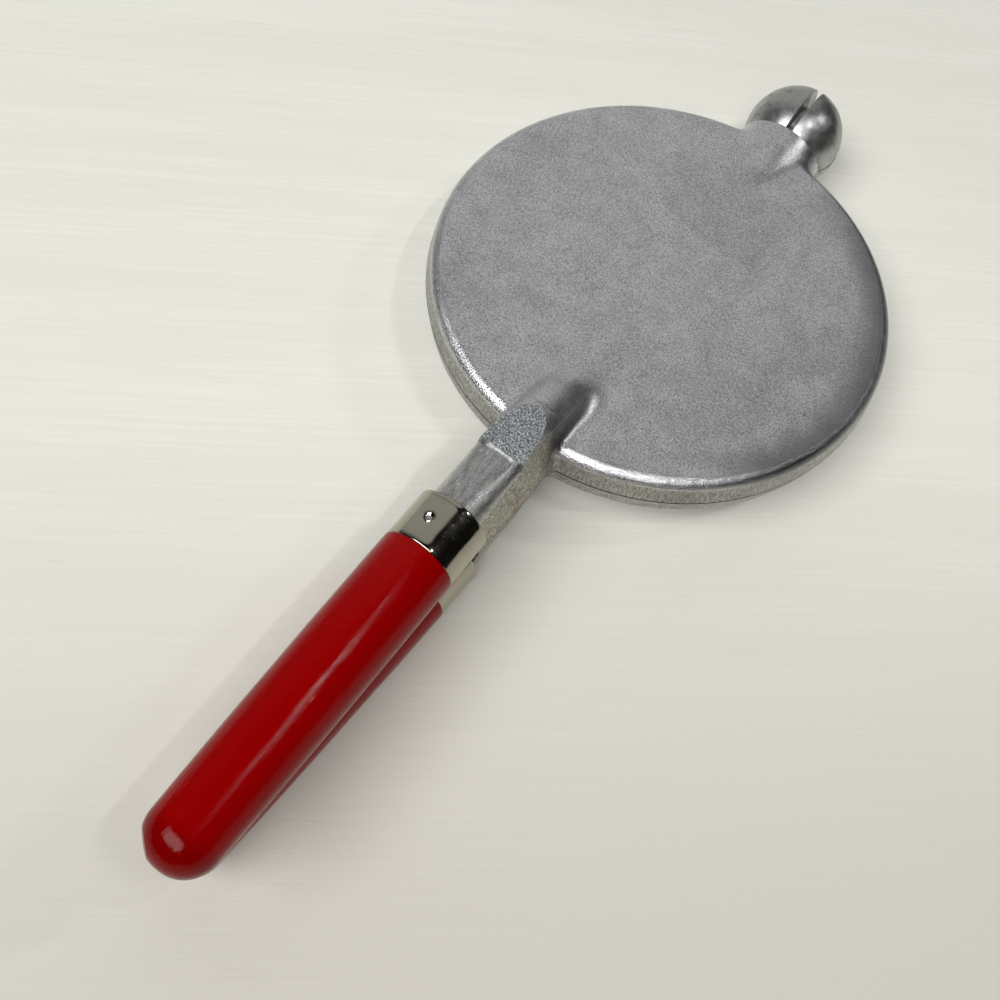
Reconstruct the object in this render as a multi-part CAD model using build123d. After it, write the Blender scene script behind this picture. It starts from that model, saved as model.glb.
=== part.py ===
from build123d import *
import math
import os

# Hand-held krumkake iron: two cast plates hinged at a slotted ball, each with a
# cast neck, a metal ferrule and a turned wooden handle.
#
# Units are millimetres and degrees. The plates lie flat and closed, +Z points up
# out of the upper plate, +Y to the hinge ball and -Y along the handles. The upper
# half is drawn with the parting plane at height 0, and the lower half is its mirror
# image. Saving lifts every node, so the finished origin is at the centre of the
# flat back of the lower plate.

os.makedirs("parts", exist_ok=True)

# ---- driving sizes ----------------------------------------------------------
PLATE_RADIUS = 76.0
HALF_HEIGHT = 8.9            # parting plane to the flat back of one plate
RIM_EDGE_RADIUS = 4.0
RIM_DRAFT = 9.0
BOSS_FILLET = 9.0            # hinge boss runs into the plate with this radius
NECK_FILLET = 3.0            # neck and hump run into the plate with this radius

NECK_LENGTH = 35.0           # edge of the plate to the front of the ferrule
FERRULE_RADIUS = 11.1
FERRULE_LENGTH = 16.0
FERRULE_GAP = 0.9            # each ferrule to the parting plane
HANDLE_LENGTH = 97.3         # bare wood behind the ferrule
HANDLE_TAPER = 0.9           # ferrule radius less the radius at the dome
UPPER_HANDLE_LEAN = 0.6      # the handles sit slightly askew in plan: degrees toward +X
LOWER_HANDLE_LEAN = -1.5

BALL_RADIUS = 17.35
BALL_LAP = 1.65              # near side of the ball inside the edge of the plate
PIN_RADIUS = 2.0
SLOT_WIDTH = 2.8

# ---- clearances -------------------------------------------------------------
BALL_CLEARANCE = 0.35        # concave boss end to the ball
LUG_SIDE_CLEARANCE = 0.2     # lug to each wall of the slot
LUG_TIP_CLEARANCE = 0.4      # lug disc and arm to the floor of the slot
PIN_RUNNING_CLEARANCE = 0.05
PIN_SEAT_CLEARANCE = 0.02
SEAT_CLEARANCE = 0.1         # round seats inside one half: tenon, spigot, tang
NECK_RELIEF = 0.25           # necks, bosses and the bevelled rim stand back from the parting plane
STOP_CLEARANCE = 0.1         # lug arm to the slot floor at full opening
BRAD_BED_CLEARANCE = 0.03    # head of the brad to its dish

# ---- places that follow from them -------------------------------------------
HANDLE_AXIS_HEIGHT = FERRULE_RADIUS + FERRULE_GAP
FERRULE_FRONT = -(PLATE_RADIUS + NECK_LENGTH)
FERRULE_REAR = FERRULE_FRONT - FERRULE_LENGTH
HANDLE_END = FERRULE_REAR - HANDLE_LENGTH
HANDLE_END_RADIUS = FERRULE_RADIUS - HANDLE_TAPER
BALL_CENTRE_Y = PLATE_RADIUS + BALL_RADIUS - BALL_LAP

# ---- casting: neck ----------------------------------------------------------
NECK_FOOT = 10.3             # half width of the neck on the parting plane, at the hump
NECK_DRAFT = 8.0
SHANK_STEP = 2.0             # top of the ferrule down to the crest of the shank
SHANK_LAP = 0.5              # the shank starts this far inside the hump
SHANK_SPARE = 1.0            # and is drawn this much too long, then trimmed square to the handle
SHANK_ROOT_NARROWING = 0.1   # the foot of the shank at its root inside the foot of the hump
SHANK_ROOT_CREST = (0.412, 2.157)    # radii of shoulders and crown, as shares of the foot
SHANK_END_CREST = (0.765, 0.969)
SHANK_END_NARROWING = 0.5
SHANK_END_DRAFT = 6.0
HUMP_CREST = (0.544, 1.019)
HUMP_REACH = 15.0            # edge of the plate to the step of the hump
HUMP_SWEEP_RADIUS = 78.7     # crest of the hump in side view
HUMP_SWEEP_OFFSET = 22.9     # edge of the plate to the centre of that sweep
HUMP_SWEEP_DROP = 52.3       # that centre below the parting plane
HUMP_SWEEP_ANGLE = 50.0
GROUND_PAD_STEP = 0.9        # ground pad above the crest of the shank

SHANK_TOP = HANDLE_AXIS_HEIGHT + FERRULE_RADIUS - SHANK_STEP
GROUND_PAD_HEIGHT = SHANK_TOP + GROUND_PAD_STEP
HUMP_STEP_Y = -(PLATE_RADIUS + HUMP_REACH)
HUMP_SWEEP_Y = -(PLATE_RADIUS + HUMP_SWEEP_OFFSET)

# ---- casting: hinge boss ----------------------------------------------------
BOSS_DROP = 2.3              # axis of the boss below the parting plane
BOSS_RADIUS = 15.2           # at its gauge station
BOSS_SLOPE = 8.05
BOSS_LENGTH = 46.0
BOSS_END_SETBACK = 5.7       # centre of the ball to the end of the boss
BOSS_GAUGE_SETBACK = 12.1    # centre of the ball to the gauge station
BALL_WALL = 6.15             # metal of the ball under the slot pocket
LUG_ARM_HEIGHT = 9.0
LUG_ARM_ROOT = 2.0           # the arm runs this far into the end of the boss
PIN_END_DEPTH = 1.6          # pin end below the surface of the ball
PIN_CHAMFER = 0.3

LUG_RADIUS = BALL_RADIUS - BALL_WALL - LUG_TIP_CLEARANCE
LUG_WIDTH = SLOT_WIDTH - 2.0 * LUG_SIDE_CLEARANCE
LUG_ARM_LENGTH = BALL_RADIUS + BALL_CLEARANCE + LUG_ARM_ROOT
BOSS_END_Y = BALL_CENTRE_Y - BOSS_END_SETBACK
BOSS_GAUGE_Y = BALL_CENTRE_Y - BOSS_GAUGE_SETBACK
BOSS_START_Y = BOSS_END_Y - BOSS_LENGTH

# ---- casting: spigot and tang -----------------------------------------------
COLLAR_STEP = 1.7            # ferrule radius less the radius of the collar
SPIGOT_LENGTH = 4.0
TANG_LENGTH = 45.0
TANG_ROOT_RADIUS = 4.5
TANG_TIP_RADIUS = 3.4

# ---- baking face ------------------------------------------------------------
RIM_LAND = 4.5               # flat ring that the two plates meet on
FIELD_DEPTH = 0.4
GROOVE_DEPTH = 0.5
GROOVE_WIDTH = 1.3
BORDER_SETBACK = 5.5         # edge of the field to the border ring
SCALLOP_COUNT = 24
SCALLOP_RADIUS = 7.6
PETAL_COUNT = 8
PETAL_GAP = 1.9              # tips of the outer petals to the scallops
PETAL_LAP = 1.0              # outer petals start this far inside the inner ones
PETAL_RIB_LENGTH = 8.0
INNER_PETAL_START = 9.0
INNER_PETAL_LENGTH = 24.0
INNER_PETAL_HALF_WIDTH = 6.5
OUTER_PETAL_HALF_WIDTH = 8.0
HUB_RADIUS = 5.6
HUB_DOT_RADIUS = 2.0

FIELD_RADIUS = PLATE_RADIUS - RIM_LAND
BORDER_RADIUS = FIELD_RADIUS - BORDER_SETBACK
INNER_PETAL_END = INNER_PETAL_START + INNER_PETAL_LENGTH
OUTER_PETAL_START = INNER_PETAL_END - PETAL_LAP
OUTER_PETAL_END = BORDER_RADIUS - SCALLOP_RADIUS - PETAL_GAP

# ---- ferrule and brad -------------------------------------------------------
FERRULE_WALL = 0.6
FERRULE_LIP_DEPTH = 0.8
FERRULE_EDGE_RADIUS = 0.5
BRAD_SETBACK = 8.5           # front of the ferrule to the brad
BRAD_ANGLE = 16.0            # away from the top of the ferrule, toward -X
BRAD_HEAD_RADIUS = 1.5
BRAD_HEAD_RISE = 0.35        # top of the head above the ferrule surface
BRAD_SHANK_RADIUS = 0.8
BRAD_SHANK_DEPTH = 5.0
DIMPLE_SPHERE_RADIUS = 7.0
DIMPLE_DEPTH = 0.35

FERRULE_BORE = FERRULE_RADIUS - FERRULE_WALL
COLLAR_RADIUS = FERRULE_RADIUS - COLLAR_STEP
SEAT_RADIUS = FERRULE_BORE - SEAT_CLEARANCE
SPIGOT_FRONT = FERRULE_FRONT - FERRULE_LIP_DEPTH
SPIGOT_REAR = SPIGOT_FRONT - SPIGOT_LENGTH
TANG_TIP = SPIGOT_REAR - TANG_LENGTH
TENON_FRONT = SPIGOT_REAR - SEAT_CLEARANCE
BRAD_Y = FERRULE_FRONT - BRAD_SETBACK

# ---- handle -----------------------------------------------------------------
HANDLE_FRONT_RISE = 0.1      # wood above the ferrule where they meet
HANDLE_SWELL = 0.25          # bulge of the handle side at mid length
HANDLE_DOME_LENGTH = 9.7
HANDLE_TIP_RADIUS = 1.0
HANDLE_FRONT_ROUND = 0.4

# ---- helper sizes -----------------------------------------------------------
BIG = 500.0                  # half-space cutter, larger than the whole iron
EDGE_TOLERANCE = 0.05        # for telling edges apart by height
HALF_RIGHT = math.radians(45.0)


def cross_plane(y):
    """Section plane across the iron at station y: local x is X, local y is Z."""
    return Plane(origin=(0, y, 0), x_dir=(1, 0, 0), z_dir=(0, -1, 0))


def above(height):
    """Everything higher than the given height."""
    return Pos(0, 0, height + BIG / 2) * Box(BIG, BIG, BIG)


def cross_rod(radius, half_length):
    """Round bar along X, centred on the hinge axis."""
    turned = Rot(0, 90, 0) * Cylinder(radius, 2.0 * half_length)
    return Pos(0, BALL_CENTRE_Y, 0) * turned


def turned_about(outline, height):
    """Solid of revolution about a line along Y at the given height.

    The outline is drawn with local x as the radius and local y along Y.
    """
    plane = Plane(origin=(0, 0, height), x_dir=(1, 0, 0), z_dir=(0, 0, 1))
    return revolve(plane * outline, axis=Axis((0, 0, height), (0, 1, 0)))


def lean(shape, angle):
    """Turn a shape in plan about the upright line through the front of the ferrule."""
    return Pos(0, FERRULE_FRONT, 0) * Rot(0, 0, angle) * Pos(0, -FERRULE_FRONT, 0) * shape


def plate_disc():
    """Round plate with drafted side wall and rounded back edge."""
    top_radius = PLATE_RADIUS - HALF_HEIGHT * math.tan(math.radians(RIM_DRAFT))
    outline = make_face(
        Polyline((0, 0), (PLATE_RADIUS, 0), (top_radius, HALF_HEIGHT), (0, HALF_HEIGHT), (0, 0))
    )
    disc = revolve(Plane.XZ * outline, axis=Axis.Z)
    back_edge = disc.edges().sort_by(Axis.Z)[-1]
    return fillet(back_edge, RIM_EDGE_RADIUS)


def neck_section(y, foot, top, draft, crest):
    """Tombstone section: drafted flat sides, round shoulders and a gentler crown.

    The shoulder arc is tangent to the side and to the crown, whose centre is on X = 0.
    """
    shoulder_radius = crest[0] * foot
    crown_radius = crest[1] * foot
    side_normal = Vector(1, 0).rotate(Axis.Z, draft)
    side_up = Vector(0, 1).rotate(Axis.Z, draft)
    crown_centre = Vector(0, top - crown_radius)
    start = Vector(foot - shoulder_radius / math.cos(math.radians(draft)), 0)
    offset = start - crown_centre
    along = side_up.dot(offset)
    excess = offset.dot(offset) - (crown_radius - shoulder_radius) ** 2
    shoulder = start + side_up * (math.sqrt(along ** 2 - excess) - along)
    low = shoulder + side_normal * shoulder_radius
    high = shoulder + (shoulder - crown_centre).normalized() * shoulder_radius
    between = (low - shoulder) + (high - shoulder)
    middle = shoulder + between.normalized() * shoulder_radius

    def left(point):
        return (-point.X, point.Y)

    outline = [
        Line((-foot, 0), left(low)),
        ThreePointArc(left(low), left(middle), left(high)),
        ThreePointArc(left(high), (0, top), (high.X, high.Y)),
        ThreePointArc((high.X, high.Y), (middle.X, middle.Y), (low.X, low.Y)),
        Line((low.X, low.Y), (foot, 0)),
        Line((foot, 0), (-foot, 0)),
    ]
    return cross_plane(y) * make_face(outline)


def shank():
    """Straight part of the neck, from just inside the hump to beyond the ferrule front."""
    root_y = HUMP_STEP_Y + SHANK_LAP
    end_y = FERRULE_FRONT - SHANK_SPARE
    root_foot = NECK_FOOT - SHANK_ROOT_NARROWING
    root = neck_section(root_y, root_foot, SHANK_TOP, NECK_DRAFT, SHANK_ROOT_CREST)
    end_foot = NECK_FOOT - SHANK_END_NARROWING
    end = neck_section(end_y, end_foot, SHANK_TOP, SHANK_END_DRAFT, SHANK_END_CREST)
    return loft([root, end])


def hump():
    """Rounded ridge that rises out of the plate, stepped at its handle end."""
    top = HUMP_SWEEP_RADIUS - HUMP_SWEEP_DROP
    section = neck_section(HUMP_SWEEP_Y, NECK_FOOT, top, NECK_DRAFT, HUMP_CREST)
    pivot = Axis((0, HUMP_SWEEP_Y, -HUMP_SWEEP_DROP), (1, 0, 0))
    ridge = revolve(section, axis=pivot, revolution_arc=-HUMP_SWEEP_ANGLE)
    plate_side = Pos(0, HUMP_STEP_Y + BIG / 2, BIG / 2) * Box(BIG, BIG, BIG)
    return ridge & plate_side


def hinge_boss():
    """Half-round boss that widens toward the hinge ball."""
    taper = math.tan(math.radians(BOSS_SLOPE))
    start_radius = BOSS_RADIUS + (BOSS_START_Y - BOSS_GAUGE_Y) * taper
    end_radius = BOSS_RADIUS + (BOSS_END_Y - BOSS_GAUGE_Y) * taper
    outline = make_face(
        Polyline(
            (0, BOSS_START_Y),
            (start_radius, BOSS_START_Y),
            (end_radius, BOSS_END_Y),
            (0, BOSS_END_Y),
            (0, BOSS_START_Y),
        )
    )
    return turned_about(outline, -BOSS_DROP) & above(0)


def junction_edges(body, side):
    """Edges where the neck (side -1) or the boss (side 1) meets the plate."""
    found = []
    for edge in body.edges():
        box = edge.bounding_box()
        middle = edge.center()
        near = abs(middle.X) < BALL_RADIUS and side * middle.Y > BOSS_START_Y
        inside = side * middle.Y < PLATE_RADIUS
        climbs = box.max.Z > RIM_EDGE_RADIUS
        low = box.max.Z < HALF_HEIGHT + EDGE_TOLERANCE
        if near and inside and climbs and low and edge.geom_type != GeomType.CIRCLE:
            found.append(edge)
    return found


def baking_pattern():
    """Grooves of the baking face: a plain geometric rosette inside a scalloped border."""
    ring = Circle(BORDER_RADIUS + GROOVE_WIDTH) - Circle(BORDER_RADIUS)
    hub = Circle(HUB_RADIUS) - Circle(HUB_RADIUS - GROOVE_WIDTH)
    pattern = ring + hub + Circle(HUB_DOT_RADIUS)
    hoop = Circle(SCALLOP_RADIUS) - Circle(SCALLOP_RADIUS - GROOVE_WIDTH)
    scallop = (Pos(BORDER_RADIUS, 0) * hoop) & Circle(BORDER_RADIUS)
    for index in range(SCALLOP_COUNT):
        pattern += Rot(0, 0, index * 360.0 / SCALLOP_COUNT) * scallop
    pitch = 360.0 / PETAL_COUNT
    for index in range(PETAL_COUNT):
        inner = petal(INNER_PETAL_START, INNER_PETAL_END, INNER_PETAL_HALF_WIDTH)
        outer = petal(OUTER_PETAL_START, OUTER_PETAL_END, OUTER_PETAL_HALF_WIDTH)
        pattern += Rot(0, 0, (index + 0.5) * pitch) * inner
        pattern += Rot(0, 0, index * pitch) * outer
    return pattern


def petal(start, end, half_width):
    """Outline of one pointed leaf along local x, with a rib down its middle."""
    middle = (start + end) / 2
    outer = leaf(start, end, half_width)
    inner = leaf(start + 2.0 * GROOVE_WIDTH, end - 2.0 * GROOVE_WIDTH, half_width - GROOVE_WIDTH)
    rib = Pos(middle, 0) * Rectangle(PETAL_RIB_LENGTH, GROOVE_WIDTH)
    return outer - inner + rib


def leaf(start, end, half_width):
    """Face between two arcs that meet at both ends."""
    middle = (start + end) / 2
    return make_face(
        [
            ThreePointArc((start, 0), (middle, half_width), (end, 0)),
            ThreePointArc((end, 0), (middle, -half_width), (start, 0)),
        ]
    )


def rim_relief():
    """Thin cut that bevels the rim and keeps neck and boss off the parting plane."""
    layer = Box(BIG, BIG, NECK_RELIEF) - Cone(PLATE_RADIUS - NECK_RELIEF, PLATE_RADIUS, NECK_RELIEF)
    return Pos(0, 0, NECK_RELIEF / 2) * layer


def spigot_and_tang():
    """Turned seat inside the ferrule and the tapered tang inside the handle."""
    outline = make_face(
        Polyline(
            (0, FERRULE_FRONT),
            (COLLAR_RADIUS, FERRULE_FRONT),
            (COLLAR_RADIUS, SPIGOT_FRONT),
            (SEAT_RADIUS, SPIGOT_FRONT),
            (SEAT_RADIUS, SPIGOT_REAR),
            (TANG_ROOT_RADIUS, SPIGOT_REAR),
            (TANG_TIP_RADIUS, TANG_TIP),
            (0, TANG_TIP),
            (0, FERRULE_FRONT),
        )
    )
    return turned_about(outline, HANDLE_AXIS_HEIGHT)


def half_casting():
    """Plate, neck, hump and boss of the upper half, before the hinge is cut."""
    body = plate_disc() + hinge_boss()
    body = fillet(junction_edges(body, 1), BOSS_FILLET)
    body = body + hump() + shank()
    body = fillet(junction_edges(body, -1), NECK_FILLET)
    body = body - above(GROUND_PAD_HEIGHT)
    body = body - rim_relief()
    body = body - Pos(0, 0, FIELD_DEPTH / 2) * Cylinder(FIELD_RADIUS, FIELD_DEPTH)
    return body - extrude(baking_pattern(), FIELD_DEPTH + GROOVE_DEPTH)


def with_tang(casting, angle):
    """Casting trimmed square to its handle, with the spigot and tang that hold the handle."""
    behind = Pos(0, FERRULE_FRONT - BIG / 2, 0) * Box(BIG, BIG, BIG)
    return casting - lean(behind, angle) + lean(spigot_and_tang(), angle)


def ball(radius):
    """Ball, or the clearance space round it, at the hinge centre."""
    return Pos(0, BALL_CENTRE_Y, 0) * Sphere(radius)


def upper_plate(casting):
    """Upper casting: concave boss end, and a lug that works in the slot of the ball."""
    body = with_tang(casting, UPPER_HANDLE_LEAN) - ball(BALL_RADIUS + BALL_CLEARANCE)
    arm_bottom = LUG_TIP_CLEARANCE
    arm_rise = LUG_ARM_HEIGHT - arm_bottom
    arm_centre = Pos(0, BALL_CENTRE_Y - LUG_ARM_LENGTH / 2, arm_bottom + arm_rise / 2)
    arm = arm_centre * Box(LUG_WIDTH, LUG_ARM_LENGTH, arm_rise)
    lug = cross_rod(LUG_RADIUS, LUG_WIDTH / 2) + arm
    body = body + lug
    return body - cross_rod(PIN_RADIUS + PIN_RUNNING_CLEARANCE, BALL_RADIUS)


def ball_slot():
    """Slot in the ball: open above the parting plane, deeper toward the rear."""
    pocket = cross_rod(LUG_RADIUS + LUG_TIP_CLEARANCE, SLOT_WIDTH / 2)
    reach = 2.0 * BALL_RADIUS
    rear_floor = -(LUG_ARM_HEIGHT + STOP_CLEARANCE)
    front = Pos(0, BALL_CENTRE_Y - reach / 2, reach / 2) * Box(SLOT_WIDTH, reach, reach)
    rear_centre = Pos(0, BALL_CENTRE_Y + reach / 2, rear_floor + reach / 2)
    rear = rear_centre * Box(SLOT_WIDTH, reach, reach)
    return pocket + front + rear


def lower_plate(casting):
    """Lower casting: the slotted ball grows out of its boss."""
    body = mirror(with_tang(casting, LOWER_HANDLE_LEAN), about=Plane.XY) + ball(BALL_RADIUS)
    body = body - ball_slot()
    return body - cross_rod(PIN_RADIUS + PIN_SEAT_CLEARANCE, BALL_RADIUS)


def hinge_pin():
    """Plain steel pin through both cheeks of the ball and the lug."""
    pin = cross_rod(PIN_RADIUS, BALL_RADIUS - PIN_END_DEPTH)
    return chamfer(pin.edges().filter_by(GeomType.CIRCLE), PIN_CHAMFER)


def brad_frame():
    """Place of the brad: origin on the ferrule surface, local z outward."""
    return Pos(0, BRAD_Y, HANDLE_AXIS_HEIGHT) * Rot(0, -BRAD_ANGLE, 0) * Pos(0, 0, FERRULE_RADIUS)


def dimple(extra):
    """Shallow round dish in the ferrule under the head of the brad."""
    return brad_frame() * Pos(0, 0, DIMPLE_SPHERE_RADIUS - DIMPLE_DEPTH) * Sphere(
        DIMPLE_SPHERE_RADIUS + extra
    )


def ferrule():
    """Thin tube with a turned-in front lip and a dish for the brad."""
    outline = make_face(
        Polyline(
            (FERRULE_BORE, FERRULE_REAR),
            (FERRULE_RADIUS, FERRULE_REAR),
            (FERRULE_RADIUS, FERRULE_FRONT),
            (COLLAR_RADIUS + SEAT_CLEARANCE, FERRULE_FRONT),
            (COLLAR_RADIUS + SEAT_CLEARANCE, SPIGOT_FRONT + SEAT_CLEARANCE),
            (FERRULE_BORE, SPIGOT_FRONT + SEAT_CLEARANCE),
            (FERRULE_BORE, FERRULE_REAR),
        )
    )
    tube = turned_about(outline, HANDLE_AXIS_HEIGHT)
    front_rings = tube.edges().filter_by(GeomType.CIRCLE).group_by(Axis.Y)[-1]
    tube = fillet(front_rings.sort_by(SortBy.RADIUS)[-1], FERRULE_EDGE_RADIUS)
    tube = tube - dimple(0)
    hole = brad_frame() * Cylinder(BRAD_SHANK_RADIUS + SEAT_CLEARANCE, BRAD_SHANK_DEPTH)
    return tube - hole


def ferrule_brad():
    """Small domed nail that pins the ferrule to the wood."""
    head_height = BRAD_HEAD_RISE + DIMPLE_DEPTH
    head = Pos(0, 0, BRAD_HEAD_RISE - head_height / 2) * Cylinder(BRAD_HEAD_RADIUS, head_height)
    rim = head.edges().filter_by(GeomType.CIRCLE).sort_by(Axis.Z)[-1]
    head = fillet(rim, BRAD_HEAD_RISE)
    bed_radius = DIMPLE_SPHERE_RADIUS - BRAD_BED_CLEARANCE
    head = head & (Pos(0, 0, DIMPLE_SPHERE_RADIUS - DIMPLE_DEPTH) * Sphere(bed_radius))
    nail = Pos(0, 0, -BRAD_SHANK_DEPTH / 2) * Cylinder(BRAD_SHANK_RADIUS, BRAD_SHANK_DEPTH)
    return brad_frame() * (head + nail)


def handle():
    """Turned wooden handle: tenon, gently swelled side and domed end."""
    front_radius = FERRULE_RADIUS + HANDLE_FRONT_RISE
    round_in = front_radius - HANDLE_FRONT_ROUND
    round_end = FERRULE_REAR - HANDLE_FRONT_ROUND
    round_bulge = HANDLE_FRONT_ROUND * math.sin(HALF_RIGHT)
    dome_start = HANDLE_END + HANDLE_DOME_LENGTH
    side_middle_y = (FERRULE_REAR + dome_start) / 2
    side_middle_radius = (front_radius + HANDLE_END_RADIUS) / 2 + HANDLE_SWELL
    dome_middle_y = HANDLE_END + HANDLE_DOME_LENGTH * (1.0 - math.sin(HALF_RIGHT))
    dome_width = HANDLE_END_RADIUS - HANDLE_TIP_RADIUS
    dome_middle_radius = HANDLE_TIP_RADIUS + dome_width * math.cos(HALF_RIGHT)
    outline = make_face(
        [
            Line((0, TENON_FRONT), (SEAT_RADIUS, TENON_FRONT)),
            Line((SEAT_RADIUS, TENON_FRONT), (SEAT_RADIUS, FERRULE_REAR)),
            Line((SEAT_RADIUS, FERRULE_REAR), (round_in, FERRULE_REAR)),
            ThreePointArc(
                (round_in, FERRULE_REAR),
                (round_in + round_bulge, round_end + round_bulge),
                (front_radius, round_end),
            ),
            ThreePointArc(
                (front_radius, round_end),
                (side_middle_radius, side_middle_y),
                (HANDLE_END_RADIUS, dome_start),
            ),
            ThreePointArc(
                (HANDLE_END_RADIUS, dome_start),
                (dome_middle_radius, dome_middle_y),
                (HANDLE_TIP_RADIUS, HANDLE_END),
            ),
            Line((HANDLE_TIP_RADIUS, HANDLE_END), (0, HANDLE_END)),
            Line((0, HANDLE_END), (0, TENON_FRONT)),
        ]
    )
    body = turned_about(outline, HANDLE_AXIS_HEIGHT)
    bore_outline = make_face(
        Polyline(
            (0, TENON_FRONT),
            (TANG_ROOT_RADIUS + SEAT_CLEARANCE, TENON_FRONT),
            (TANG_TIP_RADIUS + SEAT_CLEARANCE, TANG_TIP),
            (0, TANG_TIP - SEAT_CLEARANCE),
            (0, TENON_FRONT),
        )
    )
    body = body - turned_about(bore_outline, HANDLE_AXIS_HEIGHT)
    body = body - dimple(FERRULE_WALL)
    nail_hole = brad_frame() * Cylinder(BRAD_SHANK_RADIUS + SEAT_CLEARANCE, 2.0 * BRAD_SHANK_DEPTH)
    return body - nail_hole


def save(shape, name):
    """Write one node as a STEP file, lifted so that the lower back face is at height 0."""
    export_step(Pos(0, 0, HALF_HEIGHT) * shape, "parts/" + name + ".step")


def main():
    casting = half_casting()
    save(upper_plate(casting), "upper_plate")
    save(lower_plate(casting), "lower_plate")
    save(hinge_pin(), "hinge_pin")
    trim = {"ferrule": ferrule(), "handle": handle(), "ferrule_brad": ferrule_brad()}
    for name, shape in trim.items():
        save(lean(shape, UPPER_HANDLE_LEAN), "upper_" + name)
        save(mirror(lean(shape, LOWER_HANDLE_LEAN), about=Plane.XY), "lower_" + name)


main()
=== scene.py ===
import math

import bpy
from mathutils import Matrix, Vector, noise


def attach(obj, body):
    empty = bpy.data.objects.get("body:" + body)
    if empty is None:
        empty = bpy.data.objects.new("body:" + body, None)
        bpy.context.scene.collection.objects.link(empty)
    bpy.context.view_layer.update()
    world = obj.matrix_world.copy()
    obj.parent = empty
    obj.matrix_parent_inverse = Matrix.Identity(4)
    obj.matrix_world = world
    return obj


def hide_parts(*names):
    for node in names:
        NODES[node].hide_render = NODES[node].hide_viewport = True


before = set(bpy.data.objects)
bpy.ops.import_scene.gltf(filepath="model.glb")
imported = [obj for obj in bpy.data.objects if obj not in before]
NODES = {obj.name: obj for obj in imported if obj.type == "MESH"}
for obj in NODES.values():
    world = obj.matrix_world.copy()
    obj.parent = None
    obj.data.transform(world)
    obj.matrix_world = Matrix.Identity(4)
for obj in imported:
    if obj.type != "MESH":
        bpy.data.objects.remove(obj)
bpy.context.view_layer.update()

MM = 0.001

# ---- sizes shared with the model, in metres ---------------------------------
# Object axes: +Z out of the upper plate, +Y to the hinge ball, -Y along the handles.
PLATE_RADIUS = 76.0 * MM
HALF_HEIGHT = 8.9 * MM           # parting plane to the flat back of one plate
RIM_LAND = 4.5 * MM              # flat ring that the two plates meet on
BALL_RADIUS = 17.35 * MM
BALL_LAP = 1.65 * MM             # near side of the ball inside the edge of the plate
NECK_LENGTH = 35.0 * MM          # edge of the plate to the front of the ferrule
SHANK_STEP = 2.0 * MM            # top of the ferrule down to the crest of the shank
PAD_STEP = 0.9 * MM              # ground pad above that crest
FERRULE_RADIUS = 11.1 * MM
FERRULE_LENGTH = 16.0 * MM
FERRULE_GAP = 0.9 * MM           # each ferrule to the parting plane
FERRULE_LIP = 1.6 * MM           # the ends of the ferrule reach in this far
HANDLE_LENGTH = 97.3 * MM        # bare wood behind the ferrule
HANDLE_FRONT_RISE = 0.1 * MM     # wood above the ferrule where they meet
HANDLE_TAPER = 0.9 * MM          # ferrule radius less the radius at the dome
HANDLE_SWELL = 0.25 * MM         # bulge of the side at mid length
HANDLE_DOME = 9.7 * MM
HANDLE_TIP_RADIUS = 1.0 * MM
HANDLE_LEANS = {"upper": 0.6, "lower": -1.5}     # degrees in plan, toward +X
BRAD_SETBACK = 8.5 * MM          # front of the ferrule to the brad
BRAD_ANGLE = 16.0                # degrees away from the top of the ferrule, toward -X
DISH_RADIUS = 2.2 * MM           # the ferrule is dished round the brad
DISH_DEPTH = 0.35 * MM

# What follows from them.
PARTING_HEIGHT = HALF_HEIGHT
FIELD_RADIUS = PLATE_RADIUS - RIM_LAND
BALL_CENTRE = (0.0, PLATE_RADIUS + BALL_RADIUS - BALL_LAP, PARTING_HEIGHT)
AXIS_OFFSET = FERRULE_RADIUS + FERRULE_GAP       # parting plane to the axis of each handle
PAD_OFFSET = AXIS_OFFSET + FERRULE_RADIUS - SHANK_STEP + PAD_STEP
FERRULE_FRONT = -(PLATE_RADIUS + NECK_LENGTH)
FERRULE_REAR = FERRULE_FRONT - FERRULE_LENGTH
FERRULE_LIP_RADIUS = FERRULE_RADIUS - FERRULE_LIP
HANDLE_END = FERRULE_REAR - HANDLE_LENGTH
HANDLE_FRONT_RADIUS = FERRULE_RADIUS + HANDLE_FRONT_RISE
HANDLE_END_RADIUS = FERRULE_RADIUS - HANDLE_TAPER
BRAD_Y = FERRULE_FRONT - BRAD_SETBACK
FLIPS = {"upper": 1.0, "lower": -1.0}            # which way out of the parting plane each half faces

# ---- camera -----------------------------------------------------------------
# Pinhole camera fitted to the outline of the plates, the ball and the handle.
CAMERA_POSITION = (0.05486, -0.21340, 0.27763)
CAMERA_ANGLES = (25.0663, -6.5746, 36.5597)      # XYZ Euler angles, degrees
CAMERA_SENSOR = 36.0
CAMERA_FOCAL_SHARE = 1.030                       # focal length over image width
CAMERA_RANGE = (0.01, 20.0)                      # nearest and farthest distance it sees


def make_camera():
    data = bpy.data.cameras.new("view_camera")
    data.sensor_fit = "HORIZONTAL"
    data.sensor_width = CAMERA_SENSOR
    data.lens = CAMERA_SENSOR * CAMERA_FOCAL_SHARE
    data.clip_start, data.clip_end = CAMERA_RANGE
    camera = bpy.data.objects.new("view_camera", data)
    camera.location = CAMERA_POSITION
    camera.rotation_euler = [math.radians(angle) for angle in CAMERA_ANGLES]
    bpy.context.scene.collection.objects.link(camera)
    bpy.context.scene.camera = camera


# ---- node helpers -----------------------------------------------------------
def srgb(red, green, blue):
    """Linear colour from values of 0 to 255 as a screen shows them."""
    def linear(value):
        share = value / 255.0
        if share <= 0.04045:
            return share / 12.92
        return ((share + 0.055) / 1.055) ** 2.4
    return (linear(red), linear(green), linear(blue), 1.0)


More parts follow.
